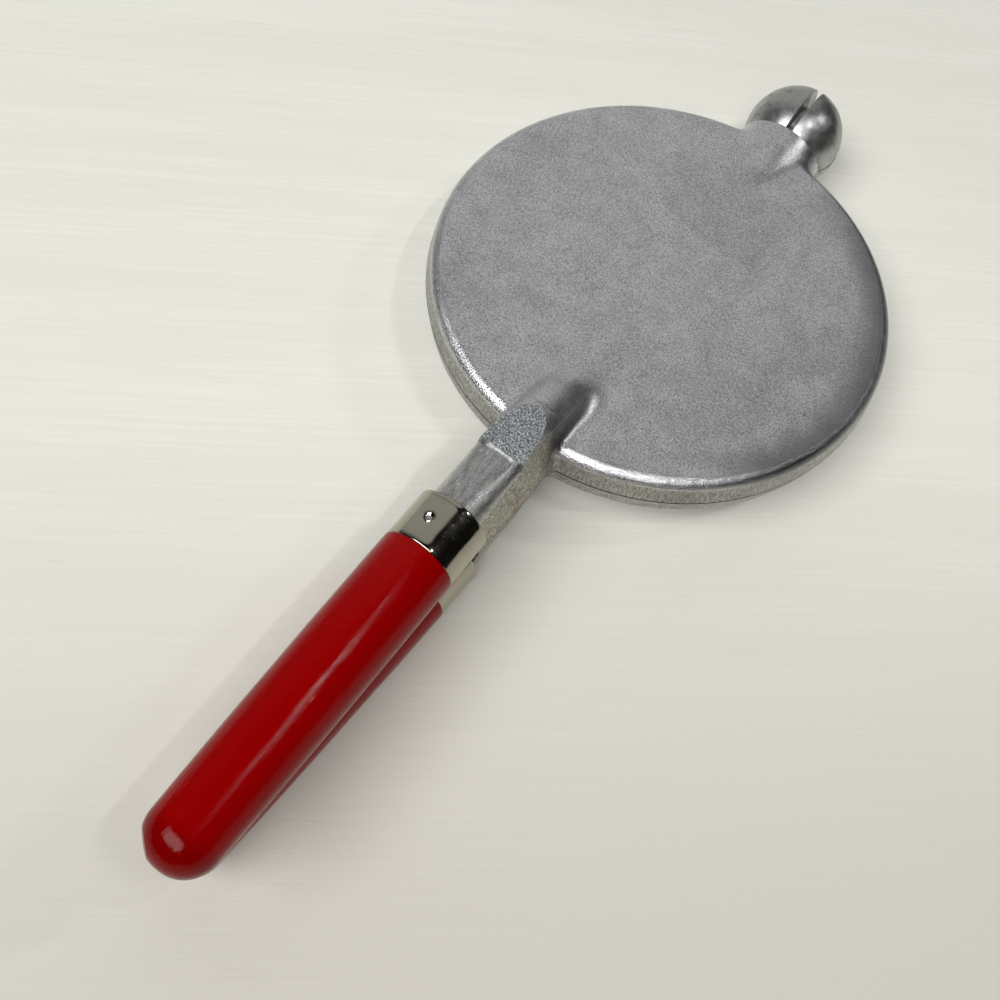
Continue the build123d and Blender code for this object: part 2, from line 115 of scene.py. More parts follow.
class Nodes:
    """Small builder round one node tree."""

    def __init__(self, tree):
        self.tree = tree

    def node(self, kind, **settings):
        made = self.tree.nodes.new(kind)
        for key, value in settings.items():
            setattr(made, key, value)
        return made

    def feed(self, source, target):
        """Link an output socket, or set a plain value."""
        if isinstance(source, bpy.types.NodeSocket):
            self.tree.links.new(source, target)
        else:
            target.default_value = source

    def math(self, operation, first, second=0.0):
        made = self.node("ShaderNodeMath", operation=operation)
        self.feed(first, made.inputs[0])
        self.feed(second, made.inputs[1])
        return made.outputs["Value"]

    def absolute(self, value):
        return self.math("ABSOLUTE", value)

    def inverse(self, value):
        return self.math("SUBTRACT", 1.0, value)

    def product(self, *factors):
        result = factors[0]
        for factor in factors[1:]:
            result = self.math("MULTIPLY", result, factor)
        return result

    def span(self, value, low, high, out_low=0.0, out_high=1.0):
        """Smooth step of a value from low..high to out_low..out_high."""
        made = self.node("ShaderNodeMapRange", interpolation_type="SMOOTHSTEP")
        self.feed(value, made.inputs["Value"])
        made.inputs["From Min"].default_value = low
        made.inputs["From Max"].default_value = high
        made.inputs["To Min"].default_value = out_low
        made.inputs["To Max"].default_value = out_high
        return made.outputs["Result"]

    def fall(self, value, low, high):
        """1 below low, 0 above high, and a smooth step between."""
        return self.span(value, low, high, 1.0, 0.0)

    def mix(self, factor, first, second):
        made = self.node("ShaderNodeMix", data_type="FLOAT")
        self.feed(factor, made.inputs[0])
        self.feed(first, made.inputs[2])
        self.feed(second, made.inputs[3])
        return made.outputs[0]

    def split(self, vector):
        made = self.node("ShaderNodeSeparateXYZ")
        self.feed(vector, made.inputs[0])
        return made.outputs["X"], made.outputs["Y"], made.outputs["Z"]

    def vector_math(self, operation, first, second, output="Vector"):
        made = self.node("ShaderNodeVectorMath", operation=operation)
        self.feed(first, made.inputs[0])
        made.inputs[1].default_value = second
        return made.outputs[output]

    def length_from(self, vector, centre, keep=(1.0, 1.0, 1.0)):
        """Distance from a centre, along the kept axes only."""
        offset = self.vector_math("SUBTRACT", vector, centre)
        kept = self.vector_math("MULTIPLY", offset, keep)
        size = self.node("ShaderNodeVectorMath", operation="LENGTH")
        self.feed(kept, size.inputs[0])
        return size.outputs["Value"]

    def toward(self, vector, direction):
        """How far a vector reaches in a direction."""
        return self.vector_math("DOT_PRODUCT", vector, Vector(direction).normalized(), "Value")


class Shader(Nodes):
    """Builder for one material on the Principled surface. Noise scales are per metre."""

    def __init__(self, name, **settings):
        self.material = bpy.data.materials.new(name)
        self.material.use_nodes = True
        super().__init__(self.material.node_tree)
        self.surface = self.tree.nodes["Principled BSDF"]
        for key, value in settings.items():
            self.surface.inputs[key.replace("_", " ")].default_value = value

    def place(self):
        """Coordinates that stay with the object."""
        return self.node("ShaderNodeTexCoord").outputs["Object"]

    def turned(self, scale, angle=0.0):
        """Object coordinates stretched by scale after a turn in plan, in degrees."""
        turn = self.node("ShaderNodeMapping")
        self.feed(self.place(), turn.inputs["Vector"])
        turn.inputs["Rotation"].default_value = (0.0, 0.0, math.radians(angle))
        return self.vector_math("MULTIPLY", turn.outputs["Vector"], scale)

    def noise(self, scale, detail=2.0, roughness=0.5, vector=None, distortion=0.0):
        made = self.node("ShaderNodeTexNoise")
        self.feed(vector or self.place(), made.inputs["Vector"])
        made.inputs["Scale"].default_value = scale
        made.inputs["Detail"].default_value = detail
        made.inputs["Roughness"].default_value = roughness
        made.inputs["Distortion"].default_value = distortion
        return made.outputs["Fac"]

    def strokes(self, scale, detail, roughness, angle=0.0):
        """Noise drawn out by a scale for each axis, turned in plan by an angle in degrees."""
        return self.noise(1.0, detail, roughness, self.turned(scale, angle))

    def pits(self, scale, size, share):
        """Scattered round pits: 1 in a pit. size is of the cell, share is how many cells have one."""
        made = self.node("ShaderNodeTexVoronoi")
        self.feed(self.place(), made.inputs["Vector"])
        made.inputs["Scale"].default_value = scale
        red, _, _ = self.split(made.outputs["Color"])
        chosen = self.math("LESS_THAN", red, share)
        return self.product(self.fall(made.outputs["Distance"], size * 0.5, size), chosen)

    def blend(self, factor, first, second):
        """Mix of two colours."""
        made = self.node("ShaderNodeMix", data_type="RGBA", blend_type="MIX")
        self.feed(factor, made.inputs[0])
        self.feed(first, made.inputs[6])
        self.feed(second, made.inputs[7])
        return made.outputs[2]

    def bump(self, height, distance, normal=None):
        """Bump whose height runs from 0 to 1 over the given distance in metres."""
        made = self.node("ShaderNodeBump")
        self.feed(height, made.inputs["Height"])
        made.inputs["Distance"].default_value = distance
        if normal is not None:
            self.feed(normal, made.inputs["Normal"])
        return made.outputs["Normal"]

    def finish(self, colour, roughness, normal):
        self.feed(colour, self.surface.inputs["Base Color"])
        self.feed(roughness, self.surface.inputs["Roughness"])
        self.feed(normal, self.surface.inputs["Normal"])
        return self.material


# ---- floor ------------------------------------------------------------------
FLOOR_GAP = 0.05 * MM            # between the ball and the paint
FLOOR_TOP = PARTING_HEIGHT - BALL_RADIUS - FLOOR_GAP
FLOOR_SLOPE = 0.0361             # the closed iron leans on its ball and on the pad of the neck
FLOOR_ROUND = 40.0 * MM          # the floor falls away both ways from the ball, this gently
FLOOR_HALF_WIDTH = 2.5
FLOOR_ROWS = 160
FLOOR_ROUGHNESS = 0.55
BRUSH_ANGLE = -36.6              # direction of the brush strokes in the paint, degrees
BRUSH_RELIEF = 0.15 * MM
NEAR_DIRECTION = (0.64, -0.77, 0.0)
NEAR_REACH = 0.22                # painted shade: the floor is painted darker this way, over this distance


def floor_height(y):
    away = y - BALL_CENTRE[1]
    fall = math.hypot(away, FLOOR_ROUND) - FLOOR_ROUND
    return FLOOR_TOP - FLOOR_SLOPE * fall


def floor_paint():
    """Pale painted board with long brush strokes, fine cuts and a few small marks."""
    shader = Shader("floor_paint", Specular_IOR_Level=0.25)
    fine = shader.strokes((9.0, 620.0, 1.0), 4.0, 0.65, BRUSH_ANGLE)
    broad = shader.strokes((4.0, 60.0, 1.0), 2.0, 0.5, BRUSH_ANGLE)
    tone = shader.blend(shader.span(fine, 0.30, 0.70), srgb(231, 231, 223), srgb(237, 237, 229))
    tone = shader.blend(shader.span(broad, 0.35, 0.65, 0.0, 0.5), tone, srgb(228, 228, 219))
    cuts = shader.span(shader.strokes((24.0, 900.0, 1.0), 2.0, 0.5, BRUSH_ANGLE), 0.70, 0.76)
    tone = shader.blend(shader.product(cuts, 0.12), tone, srgb(150, 146, 134))
    marks = shader.pits(70.0, 0.03, 0.03)
    tone = shader.blend(shader.product(marks, 0.6), tone, srgb(120, 114, 104))
    # Painted shade: the floor colour darkens toward the near side.
    near = shader.span(shader.toward(shader.place(), NEAR_DIRECTION), 0.0, NEAR_REACH)
    tone = shader.blend(near, tone, srgb(206, 203, 193))
    return shader.finish(tone, FLOOR_ROUGHNESS, shader.bump(fine, BRUSH_RELIEF))


def make_floor():
    """Wide board in rows across, closest together under the ball, where it bends."""
    verts = []
    faces = []
    for row in range(FLOOR_ROWS + 1):
        share = 2.0 * row / FLOOR_ROWS - 1.0
        y = BALL_CENTRE[1] + FLOOR_HALF_WIDTH * share * abs(share)
        verts.append((-FLOOR_HALF_WIDTH, y, floor_height(y)))
        verts.append((FLOOR_HALF_WIDTH, y, floor_height(y)))
        if row:
            last = 2 * row
            faces.append((last - 2, last - 1, last + 1, last))
    mesh = bpy.data.meshes.new("floor")
    mesh.from_pydata(verts, [], faces)
    mesh.shade_smooth()
    mesh.materials.append(floor_paint())
    floor = bpy.data.objects.new("floor", mesh)
    bpy.context.scene.collection.objects.link(floor)


# ---- world and lamps --------------------------------------------------------
ROOM_TINT = (1.0, 0.99, 0.975, 1.0)
ROOM_DIM = 0.008                 # light from the dim parts of the room
ROOM_WALL = 0.52                 # light from the pale wall past the hinge
ROOM_BACKDROP = 0.85             # what the camera sees past the floor
WALL_SKEW = 0.45                 # how much the wall's near border leans toward +X

# Name, compass direction and elevation in degrees, distance, width and depth, power in watts.
LAMPS = (
    ("ceiling", -100.0, 55.0, 3.0, (3.0, 1.5), 92.0),
    ("far_window", 46.0, 45.0, 1.5, (0.06, 0.16), 1.6),
    ("roof_light", 5.0, 67.0, 1.5, (0.22, 0.025), 2.4),
)


def pale_wall(nodes, direction):
    """1 in the directions of the pale wall, 0 elsewhere, with soft borders between."""
    x, y, z = nodes.split(direction)
    beyond = nodes.math("SUBTRACT", y, nodes.product(x, WALL_SKEW))
    above = nodes.math("SUBTRACT", z, x)
    return nodes.product(
        nodes.span(beyond, 0.24, 0.34),
        nodes.span(above, 0.14, 0.36),
        nodes.span(y, -0.10, 0.04),
        nodes.span(y, 0.20, 0.36, 0.38, 1.0),
        nodes.fall(x, 0.02, 0.22),
    )


def make_world():
    """Dim room with one pale wall; the lamps stand for its windows."""
    world = bpy.data.worlds.new("room")
    world.use_nodes = True
    bpy.context.scene.world = world
    nodes = Nodes(world.node_tree)
    background = world.node_tree.nodes["Background"]
    wall = pale_wall(nodes, nodes.node("ShaderNodeTexCoord").outputs["Generated"])
    room = nodes.span(wall, 0.0, 1.0, ROOM_DIM, ROOM_WALL)
    path = nodes.node("ShaderNodeLightPath")
    seen = nodes.mix(path.outputs["Is Camera Ray"], room, ROOM_BACKDROP)
    background.inputs["Color"].default_value = ROOM_TINT
    nodes.feed(seen, background.inputs["Strength"])


def make_lamp(name, azimuth, elevation, distance, size, power):
    """Rectangular lamp that faces the plates; its width lies level."""
    data = bpy.data.lights.new(name, "AREA")
    data.shape = "RECTANGLE"
    data.size, data.size_y = size
    data.energy = power
    data.color = ROOM_TINT[:3]
    lamp = bpy.data.objects.new(name, data)
    flat = distance * math.cos(math.radians(elevation))
    place = Vector((
        flat * math.cos(math.radians(azimuth)),
        flat * math.sin(math.radians(azimuth)),
        distance * math.sin(math.radians(elevation)),
    ))
    lamp.matrix_world = Matrix.Translation(place) @ place.to_track_quat("Z", "Y").to_matrix().to_4x4()
    lamp.visible_camera = False
    bpy.context.scene.collection.objects.link(lamp)


# ---- material of the castings -----------------------------------------------
# Where one look gives way to the next, in metres. Each is the start and the end of a soft border.
RIM_EDGE_BORDER = (PLATE_RADIUS - 5.6 * MM, PLATE_RADIUS - 4.6 * MM)     # radius
RIM_SIDE_BORDER = (PLATE_RADIUS - 4.2 * MM, PLATE_RADIUS - 3.0 * MM)
JOINT_BORDER = (PLATE_RADIUS - 0.4 * MM, PLATE_RADIUS - 0.3 * MM)
FIELD_BORDER = (FIELD_RADIUS, FIELD_RADIUS + 0.1 * MM)
SHADE_RIM_BORDER = (60.0 * MM, 72.0 * MM)
CORNER_RIM_BORDER = (60.0 * MM, 80.0 * MM)
BOSS_BORDER = (58.0 * MM, 66.0 * MM)                                     # along Y
SHADE_START_BORDER = (-55.0 * MM, -35.0 * MM)
CORNER_FAR_BORDER = (-62.0 * MM, -54.0 * MM)
NECK_BORDER = (-68.0 * MM, -60.0 * MM)
CORNER_NEAR_BORDER = (-80.0 * MM, -74.0 * MM)
SHANK_BORDER = (-91.5 * MM, -90.5 * MM)
SHADE_SIDE_BORDER = (12.0 * MM, 50.0 * MM)                                # along X
CORNER_SIDE_BORDER = (3.0 * MM, 6.0 * MM)
PAD_BORDER = (PAD_OFFSET - 0.12 * MM, PAD_OFFSET - 0.04 * MM)            # from the parting plane
FIELD_DEPTH_BORDER = (1.0 * MM, 1.2 * MM)
GROOVE_DEPTH_BORDER = (0.45 * MM, 0.80 * MM)
JOINT_DEPTH_BORDER = (0.18 * MM, 0.34 * MM)
BALL_BORDER = (BALL_RADIUS + 0.03 * MM, BALL_RADIUS + 0.12 * MM)         # from the ball centre
# The same for the way a surface faces: 0 is square to an axis and 1 is along it.
EDGE_OVER_SIDE = (0.18, 0.30)                                            # up or down
EDGE_OFF_BACK = (0.995, 0.97)
SIDE_OFF_EDGE = (0.45, 0.25)
NECK_WALL_FACING = (0.86, 0.95)                                          # to either side
SHANK_CREST_FACING = (0.80, 0.90)
CORNER_FACING = (0.45, 0.85)                                             # toward +X
GRAIN_RELIEF = 0.05 * MM
WARP_RELIEF = 0.22 * MM
HOLE_RELIEF = 0.12 * MM


class Casting(Shader):
    """Cast metal, built up region by region. A mask is 1 inside its region."""

    def __init__(self):
        super().__init__("cast_aluminium", Metallic=1.0)
        place = self.place()
        self.x, self.y, z = self.split(place)
        self.height = self.absolute(self.math("SUBTRACT", z, PARTING_HEIGHT))
        self.radius = self.length_from(place, (0.0, 0.0, 0.0), (1.0, 1.0, 0.0))
        self.to_ball = self.length_from(place, BALL_CENTRE)
        self.facing_x, _, facing_z = self.split(self.node("ShaderNodeTexCoord").outputs["Normal"])
        self.sideways = self.absolute(self.facing_x)
        self.level = self.absolute(facing_z)
        self.before_boss = self.fall(self.y, *BOSS_BORDER)
        self.grain = self.noise(2600.0, 2.0, 0.6)
        self.add_skin()

    def cover(self, mask, tone=None, rough=None, relief=None):
        """Lay a look over what is there, inside the mask."""
        if tone is not None:
            self.tone = self.blend(mask, self.tone, tone)
        if rough is not None:
            self.rough = self.mix(mask, self.rough, rough)
        if relief is not None:
            self.relief = self.mix(mask, self.relief, relief)

    def add_skin(self):
        """Plain cast metal: blotches, darker patches and a fine grain that glints."""
        blotch = self.noise(120.0, 3.0, 0.55)
        patch = self.noise(32.0, 2.0, 0.5, distortion=0.4)
        coarse = self.noise(1000.0, 3.0, 0.6)
        self.tone = self.blend(self.span(blotch, 0.35, 0.65), srgb(200, 201, 204), srgb(214, 215, 218))
        self.rough = self.span(blotch, 0.3, 0.7, 0.34, 0.42)
        self.relief = self.math("ADD", self.product(coarse, 0.35), self.product(self.grain, 0.5))
        self.cover(self.span(patch, 0.54, 0.66, 0.0, 0.25), srgb(146, 146, 148))
        self.cover(self.span(self.grain, 0.54, 0.64, 0.0, 0.65), srgb(248, 249, 252))
        self.cover(self.span(self.grain, 0.48, 0.38, 0.0, 0.65), srgb(104, 104, 106))

    def add_painted_side_shade(self):
        """Painted shade: the plate is painted darker toward its +X rim."""
        mask = self.product(
            self.span(self.radius, *SHADE_RIM_BORDER),
            self.span(self.x, *SHADE_SIDE_BORDER),
            self.span(self.y, *SHADE_START_BORDER),
            0.8,
        )
        self.cover(mask, srgb(118, 118, 120))

    def add_rim_edge(self):
        """Rounded edge of the plate: rubbed smooth, so that its grain glints."""
        mask = self.product(
            self.before_boss,
            self.span(self.radius, *RIM_EDGE_BORDER),
            self.span(self.level, *EDGE_OVER_SIDE),
            self.span(self.level, *EDGE_OFF_BACK),
        )
        self.cover(mask, rough=0.24)
        self.relief = self.math("ADD", self.relief, self.product(mask, self.grain, 3.0))

    def add_rim_side(self):
        """Sandy side of the plate."""
        mask = self.product(
            self.before_boss,
            self.span(self.radius, *RIM_SIDE_BORDER),
            self.span(self.level, *SIDE_OFF_EDGE),
        )
        sand = self.strokes((2000.0, 2000.0, 500.0), 4.0, 0.65)
        tone = self.blend(self.span(sand, 0.35, 0.65), srgb(124, 124, 120), srgb(180, 180, 175))
        self.cover(mask, tone, relief=self.product(sand, 1.4))

    def add_neck_walls(self):
        """Rough, stained side walls of the neck."""
        mask = self.product(
            self.fall(self.y, *NECK_BORDER), self.span(self.sideways, *NECK_WALL_FACING)
        )
        sand = self.noise(1500.0, 4.0, 0.7)
        tone = self.blend(self.span(sand, 0.38, 0.62), srgb(112, 109, 100), srgb(206, 203, 192))
        stain = self.span(self.noise(150.0, 3.0), 0.58, 0.70, 0.0, 0.6)
        tone = self.blend(stain, tone, srgb(128, 108, 88))
        self.cover(mask, tone, 0.50, self.product(sand, 1.6))

    def add_neck_corner_shade(self):
        """Painted shade in the corner where the +X flank of the hump meets the rim."""
        mask = self.product(
            self.span(self.y, *CORNER_NEAR_BORDER),
            self.fall(self.y, *CORNER_FAR_BORDER),
            self.span(self.x, *CORNER_SIDE_BORDER),
            self.span(self.radius, *CORNER_RIM_BORDER, 0.4, 1.0),
            self.span(self.facing_x, *CORNER_FACING),
            0.8,
        )
        self.cover(mask, srgb(66, 66, 64))

    def add_shank_crest(self):
        """Crest of the shank: smoother and darker, streaked along its length, with bright flecks."""
        mask = self.product(
            self.fall(self.y, *SHANK_BORDER), self.fall(self.sideways, *SHANK_CREST_FACING)
        )
        worn = self.strokes((900.0, 260.0, 900.0), 4.0, 0.65)
        tone = self.blend(self.span(worn, 0.38, 0.60), srgb(158, 159, 159), srgb(192, 193, 192))
        tone = self.blend(self.span(self.grain, 0.60, 0.66), tone, srgb(246, 247, 247))
        self.cover(mask, tone, 0.30)

    def add_ground_pad(self):
        """Flat pad on the neck, ground off and full of small facets."""
        mask = self.span(self.height, *PAD_BORDER)
        facets = self.noise(2000.0, 3.0, 0.75)
        tone = self.blend(self.span(facets, 0.38, 0.58), srgb(122, 128, 132), srgb(184, 190, 194))
        tone = self.blend(self.span(facets, 0.54, 0.61), tone, srgb(250, 251, 252))
        rough = self.span(facets, 0.4, 0.6, 0.26, 0.40)
        self.cover(mask, tone, rough, self.product(facets, 3.0))

    def add_ball(self):
        """Half-polished ball with scratches and dull spots."""
        mask = self.fall(self.to_ball, *BALL_BORDER)
        scratches = self.strokes((300.0, 2600.0, 1500.0), 3.0, 0.6, 35.0)
        dull = self.noise(260.0, 4.0, 0.6)
        tone = self.blend(scratches, srgb(150, 150, 150), srgb(196, 196, 196))
        tone = self.blend(self.span(dull, 0.52, 0.66, 0.0, 0.5), tone, srgb(112, 112, 112))
        self.cover(mask, tone, self.span(dull, 0.3, 0.7, 0.28, 0.44), scratches)

    def add_baking_face(self):
        """Seasoned baking field, darkest in the grooves of its pattern."""
        field = self.product(
            self.fall(self.height, *FIELD_DEPTH_BORDER), self.fall(self.radius, *FIELD_BORDER)
        )
        crust = self.noise(55.0, 4.0, 0.6)
        tone = self.blend(self.span(crust, 0.35, 0.65), srgb(128, 122, 112), srgb(172, 168, 160))
        self.cover(field, tone)
        grooves = self.product(field, self.span(self.height, *GROOVE_DEPTH_BORDER))
        self.cover(grooves, srgb(76, 67, 56))

    def add_joint_shade(self):
        """Painted shade in the joint between the two rims."""
        mask = self.product(
            self.fall(self.height, *JOINT_DEPTH_BORDER), self.span(self.radius, *JOINT_BORDER)
        )
        self.cover(mask, srgb(24, 21, 18), 0.7)

    def close(self):
        """Add the pinholes and the bumps, and join all to the surface."""
        holes = self.pits(150.0, 0.06, 0.12)
        self.cover(self.product(holes, 0.8), srgb(54, 54, 54))
        normal = self.bump(self.noise(45.0, 2.0), WARP_RELIEF)
        normal = self.bump(self.relief, GRAIN_RELIEF, normal)
        normal = self.bump(self.inverse(holes), HOLE_RELIEF, normal)
        return self.finish(self.tone, self.rough, normal)


def cast_aluminium():
    """Matt cast metal; each region lies over those before it."""
    casting = Casting()
    casting.add_painted_side_shade()
    casting.add_rim_edge()
    casting.add_rim_side()
    casting.add_neck_walls()
    casting.add_neck_corner_shade()
    casting.add_shank_crest()
    casting.add_ground_pad()
    casting.add_ball()
    casting.add_baking_face()
    casting.add_joint_shade()
    return casting.close()


# ---- other materials --------------------------------------------------------
END_SHADE_BORDER = (HANDLE_END + 12.3 * MM, HANDLE_END + 5.3 * MM)    # painted shade: the lacquer is painted darker to the end


def nickel_plate():
    """Bright plating with a little haze, fine scuffs and a few dark specks."""
    shader = Shader("ferrule_nickel", Metallic=1.0)
    haze = shader.noise(170.0, 4.0, 0.6)
    scuffs = shader.strokes((500.0, 2600.0, 500.0), 3.0, 0.6, 20.0)
    tone = shader.blend(haze, srgb(164, 159, 145), srgb(174, 170, 157))
    specks = shader.pits(420.0, 0.10, 0.07)
    tone = shader.blend(shader.product(specks, 0.8), tone, srgb(70, 62, 54))
    rough = shader.span(haze, 0.35, 0.65, 0.09, 0.15)
    rough = shader.math("ADD", rough, shader.span(scuffs, 0.60, 0.72, 0.0, 0.15))
    normal = shader.bump(shader.noise(130.0, 2.0), 0.06 * MM)
    normal = shader.bump(scuffs, 0.004 * MM, normal)
    return shader.finish(tone, rough, normal)


def red_lacquer():
    """Deep glossy lacquer over turned wood, with lengthwise brush streaks and fine flecks."""
    shader = Shader("handle_lacquer", IOR=1.22)
    _, y, _ = shader.split(shader.place())
    streaks = shader.strokes((900.0, 110.0, 900.0), 3.0, 0.55)
    wide = shader.strokes((260.0, 30.0, 260.0), 2.0, 0.5)
    flecks = shader.strokes((1100.0, 420.0, 1100.0), 3.0, 0.7, 24.0)
    tone = shader.blend(wide, srgb(133, 0, 1), srgb(142, 1, 2))
    # Painted shade toward the end of the handle.
    tone = shader.blend(shader.span(y, *END_SHADE_BORDER), tone, srgb(112, 0, 1))
    chips = shader.pits(150.0, 0.05, 0.06)
    tone = shader.blend(shader.product(chips, 0.7), tone, srgb(60, 4, 4))
    rough = shader.span(streaks, 0.35, 0.65, 0.05, 0.14)
    normal = shader.bump(wide, 0.12 * MM)
    normal = shader.bump(streaks, 0.05 * MM, normal)
    normal = shader.bump(flecks, 0.10 * MM, normal)
    return shader.finish(tone, rough, normal)


def dark_shade_ring():
    """Painted shade round the nail heads, dark and crumbly."""
    shader = Shader("dark_shade_ring")
    crumbs = shader.noise(3000.0, 3.0)
    tone = shader.blend(crumbs, srgb(20, 17, 14), srgb(48, 42, 34))
    return shader.finish(tone, shader.span(crumbs, 0.3, 0.7, 0.6, 0.9), shader.bump(crumbs, 0.05 * MM))


def plain_steel():
    """Bright turned steel of the pin and the brads."""
    shader = Shader("bright_steel", Metallic=1.0)
    haze = shader.noise(1900.0, 3.0)
    tone = shader.blend(haze, srgb(186, 184, 180), srgb(216, 214, 210))
    rough = shader.span(haze, 0.3, 0.7, 0.16, 0.28)
    return shader.finish(tone, rough, shader.bump(haze, 0.02 * MM))


# ---- mesh helpers -----------------------------------------------------------
def mirrored(half):
    """Matrix that leaves the upper half as it is and mirrors the lower one in height."""
    return Matrix.Diagonal((1.0, 1.0, FLIPS[half], 1.0))


def half_frame(half):
    """Matrix from a handle's own frame, axis on Z = 0 and brad upward, to the object frame."""
    lift = Matrix.Translation((0.0, 0.0, PARTING_HEIGHT + FLIPS[half] * AXIS_OFFSET))
    pivot = Matrix.Translation((0.0, FERRULE_FRONT, 0.0))
    turn = Matrix.Rotation(math.radians(HANDLE_LEANS[half]), 4, "Z")
    return pivot @ turn @ pivot.inverted() @ lift @ mirrored(half)


def mesh_piece(name, half, verts, faces, matrix, material):
    """Smooth mesh on one half, from points that the matrix takes to the object frame."""
    mesh = bpy.data.meshes.new(name)
    mesh.from_pydata([matrix @ Vector(vert) for vert in verts], [], faces)
    if matrix.determinant() < 0:
        mesh.flip_normals()
    mesh.shade_smooth()
    mesh.materials.append(material)
    made = bpy.data.objects.new(name, mesh)
    bpy.context.scene.collection.objects.link(made)
    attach(made, half + "_half")
    return made


def lathe(outline, steps, shift):
    """Points and faces of a lathe about the Y axis; shift moves each point (radius, angle, y)."""
    verts = []
    faces = []
    for row, (radius, y) in enumerate(outline):
        for step in range(steps):
            angle = 2.0 * math.pi * step / steps
            moved = shift(radius, angle, y)
            verts.append((moved * math.sin(angle), y, moved * math.cos(angle)))
            if row:
                here = row * steps + step
                after = row * steps + (step + 1) % steps
                faces.append((here - steps, after - steps, after, here))
    return verts, faces


def arc_points(start, middle, end, steps):
    """Points of the arc through three points, both ends included."""
    (ax, ay), (bx, by), (cx, cy) = start, middle, end
    cross = 2.0 * (ax * (by - cy) + bx * (cy - ay) + cx * (ay - by))
    a2, b2, c2 = ax * ax + ay * ay, bx * bx + by * by, cx * cx + cy * cy
    centre_x = (a2 * (by - cy) + b2 * (cy - ay) + c2 * (ay - by)) / cross
    centre_y = (a2 * (cx - bx) + b2 * (ax - cx) + c2 * (bx - ax)) / cross
    radius = math.hypot(ax - centre_x, ay - centre_y)
    first = math.atan2(ay - centre_y, ax - centre_x)
    sweep = math.remainder(math.atan2(cy - centre_y, cx - centre_x) - first, 2.0 * math.pi)
    angles = [first + sweep * step / steps for step in range(steps + 1)]
    return [(centre_x + radius * math.cos(a), centre_y + radius * math.sin(a)) for a in angles]


def front_corner(radius, y, size, steps):
    """Quarter round from a front face at y to a side of this radius."""
    middle = size * math.sqrt(0.5)
    return arc_points(
        (radius - size, y), (radius - size + middle, y - size + middle), (radius, y - size), steps
    )


def wave(x, y, z, seed):
    """Smooth number between about -1 and 1 that depends on the place only."""
    return noise.noise(Vector((x, y, z + seed)))


# ---- soft blend of each hump into its plate ---------------------------------
# Down to SWEEP_RADIUS these are the sizes of the hump in the model.
HUMP_FOOT = 10.3 * MM            # half width of the hump on the parting plane
HUMP_DRAFT = math.tan(math.radians(8.0))
HUMP_CROWN = 10.5 * MM           # radii of its crest
HUMP_SHOULDER = 5.6 * MM
HUMP_SWEEP_OFFSET = 22.9 * MM    # edge of the plate to the centre of its side view
SWEEP_Y = -(PLATE_RADIUS + HUMP_SWEEP_OFFSET)
SWEEP_DROP = 52.3 * MM           # that centre below the parting plane
SWEEP_RADIUS = 78.7 * MM
CREST_HALVINGS = 40
BLEND_START_Y = -72.2 * MM
BLEND_RISE = (2.9 * MM, 6.2 * MM)    # height it takes of the hump: beside the rim, at the nose
BLEND_RISE_GROWTH = 1.3          # above 1, most of the growth is near the nose
BLEND_STATIONS = 120
BLEND_STEPS = 14
BLEND_SINK = 0.04 * MM           # its edges dip this far under the casting
BLEND_SINK_POWER = 6             # and only close to the edges
HEIGHT_NUDGE = 0.2 * MM          # small steps that measure a slope
SHARE_NUDGE = 0.0001


def crest_profile():
    """Centre of the shoulder arc and of the crown arc, in the section of the hump."""
    top = SWEEP_RADIUS - SWEEP_DROP
    crown_centre = top - HUMP_CROWN
    low, high = crown_centre, top
    for _ in range(CREST_HALVINGS):
        middle = (low + high) / 2.0
        across = HUMP_FOOT - middle * HUMP_DRAFT - HUMP_SHOULDER * math.hypot(1.0, HUMP_DRAFT)
        if math.hypot(across, middle - crown_centre) > HUMP_CROWN - HUMP_SHOULDER:
            high = middle
        else:
            low = middle
    return across, middle, crown_centre


SHOULDER_X, SHOULDER_Z, CROWN_Z = crest_profile()


def hump_half_width(section_height):
    """Half width of the hump section at a height over the parting plane."""
    crown_share = HUMP_CROWN / (HUMP_CROWN - HUMP_SHOULDER)
    shoulder_top = CROWN_Z + (SHOULDER_Z - CROWN_Z) * crown_share
    shoulder_low = SHOULDER_Z + HUMP_SHOULDER * HUMP_DRAFT / math.hypot(1.0, HUMP_DRAFT)
    if section_height > shoulder_top:
        return math.sqrt(max(0.0, HUMP_CROWN ** 2 - (section_height - CROWN_Z) ** 2))
    if section_height > shoulder_low:
        return SHOULDER_X + math.sqrt(HUMP_SHOULDER ** 2 - (section_height - SHOULDER_Z) ** 2)
    return HUMP_FOOT - section_height * HUMP_DRAFT


def outline_width(y, height):
    """Half width of the hump where a level plane at this height cuts it."""
    return hump_half_width(math.hypot(y - SWEEP_Y, height + SWEEP_DROP) - SWEEP_DROP)


def nose_y(height):
    return SWEEP_Y + math.sqrt(SWEEP_RADIUS ** 2 - (height + SWEEP_DROP) ** 2)


def outline_point(share, height):
    """Point of the level outline: share runs from 0 beside the rim to 1 at the nose."""
    reach = nose_y(height) - BLEND_START_Y
    y = BLEND_START_Y + reach * math.sin(share * math.pi / 2.0)
    return outline_width(y, height), y


def away_from_foot(share):
    """Level direction away from the hump, square to its foot on the plate."""
    if share == 1.0:
        return Vector((0.0, 1.0))
    before_x, before_y = outline_point(max(0.0, share - SHARE_NUDGE), HALF_HEIGHT)
    after_x, after_y = outline_point(min(1.0, share + SHARE_NUDGE), HALF_HEIGHT)
    along = Vector((after_x - before_x, after_y - before_y)).normalized()
    away = Vector((-along.y, along.x))
    return away if away.x + away.y >= 0.0 else -away


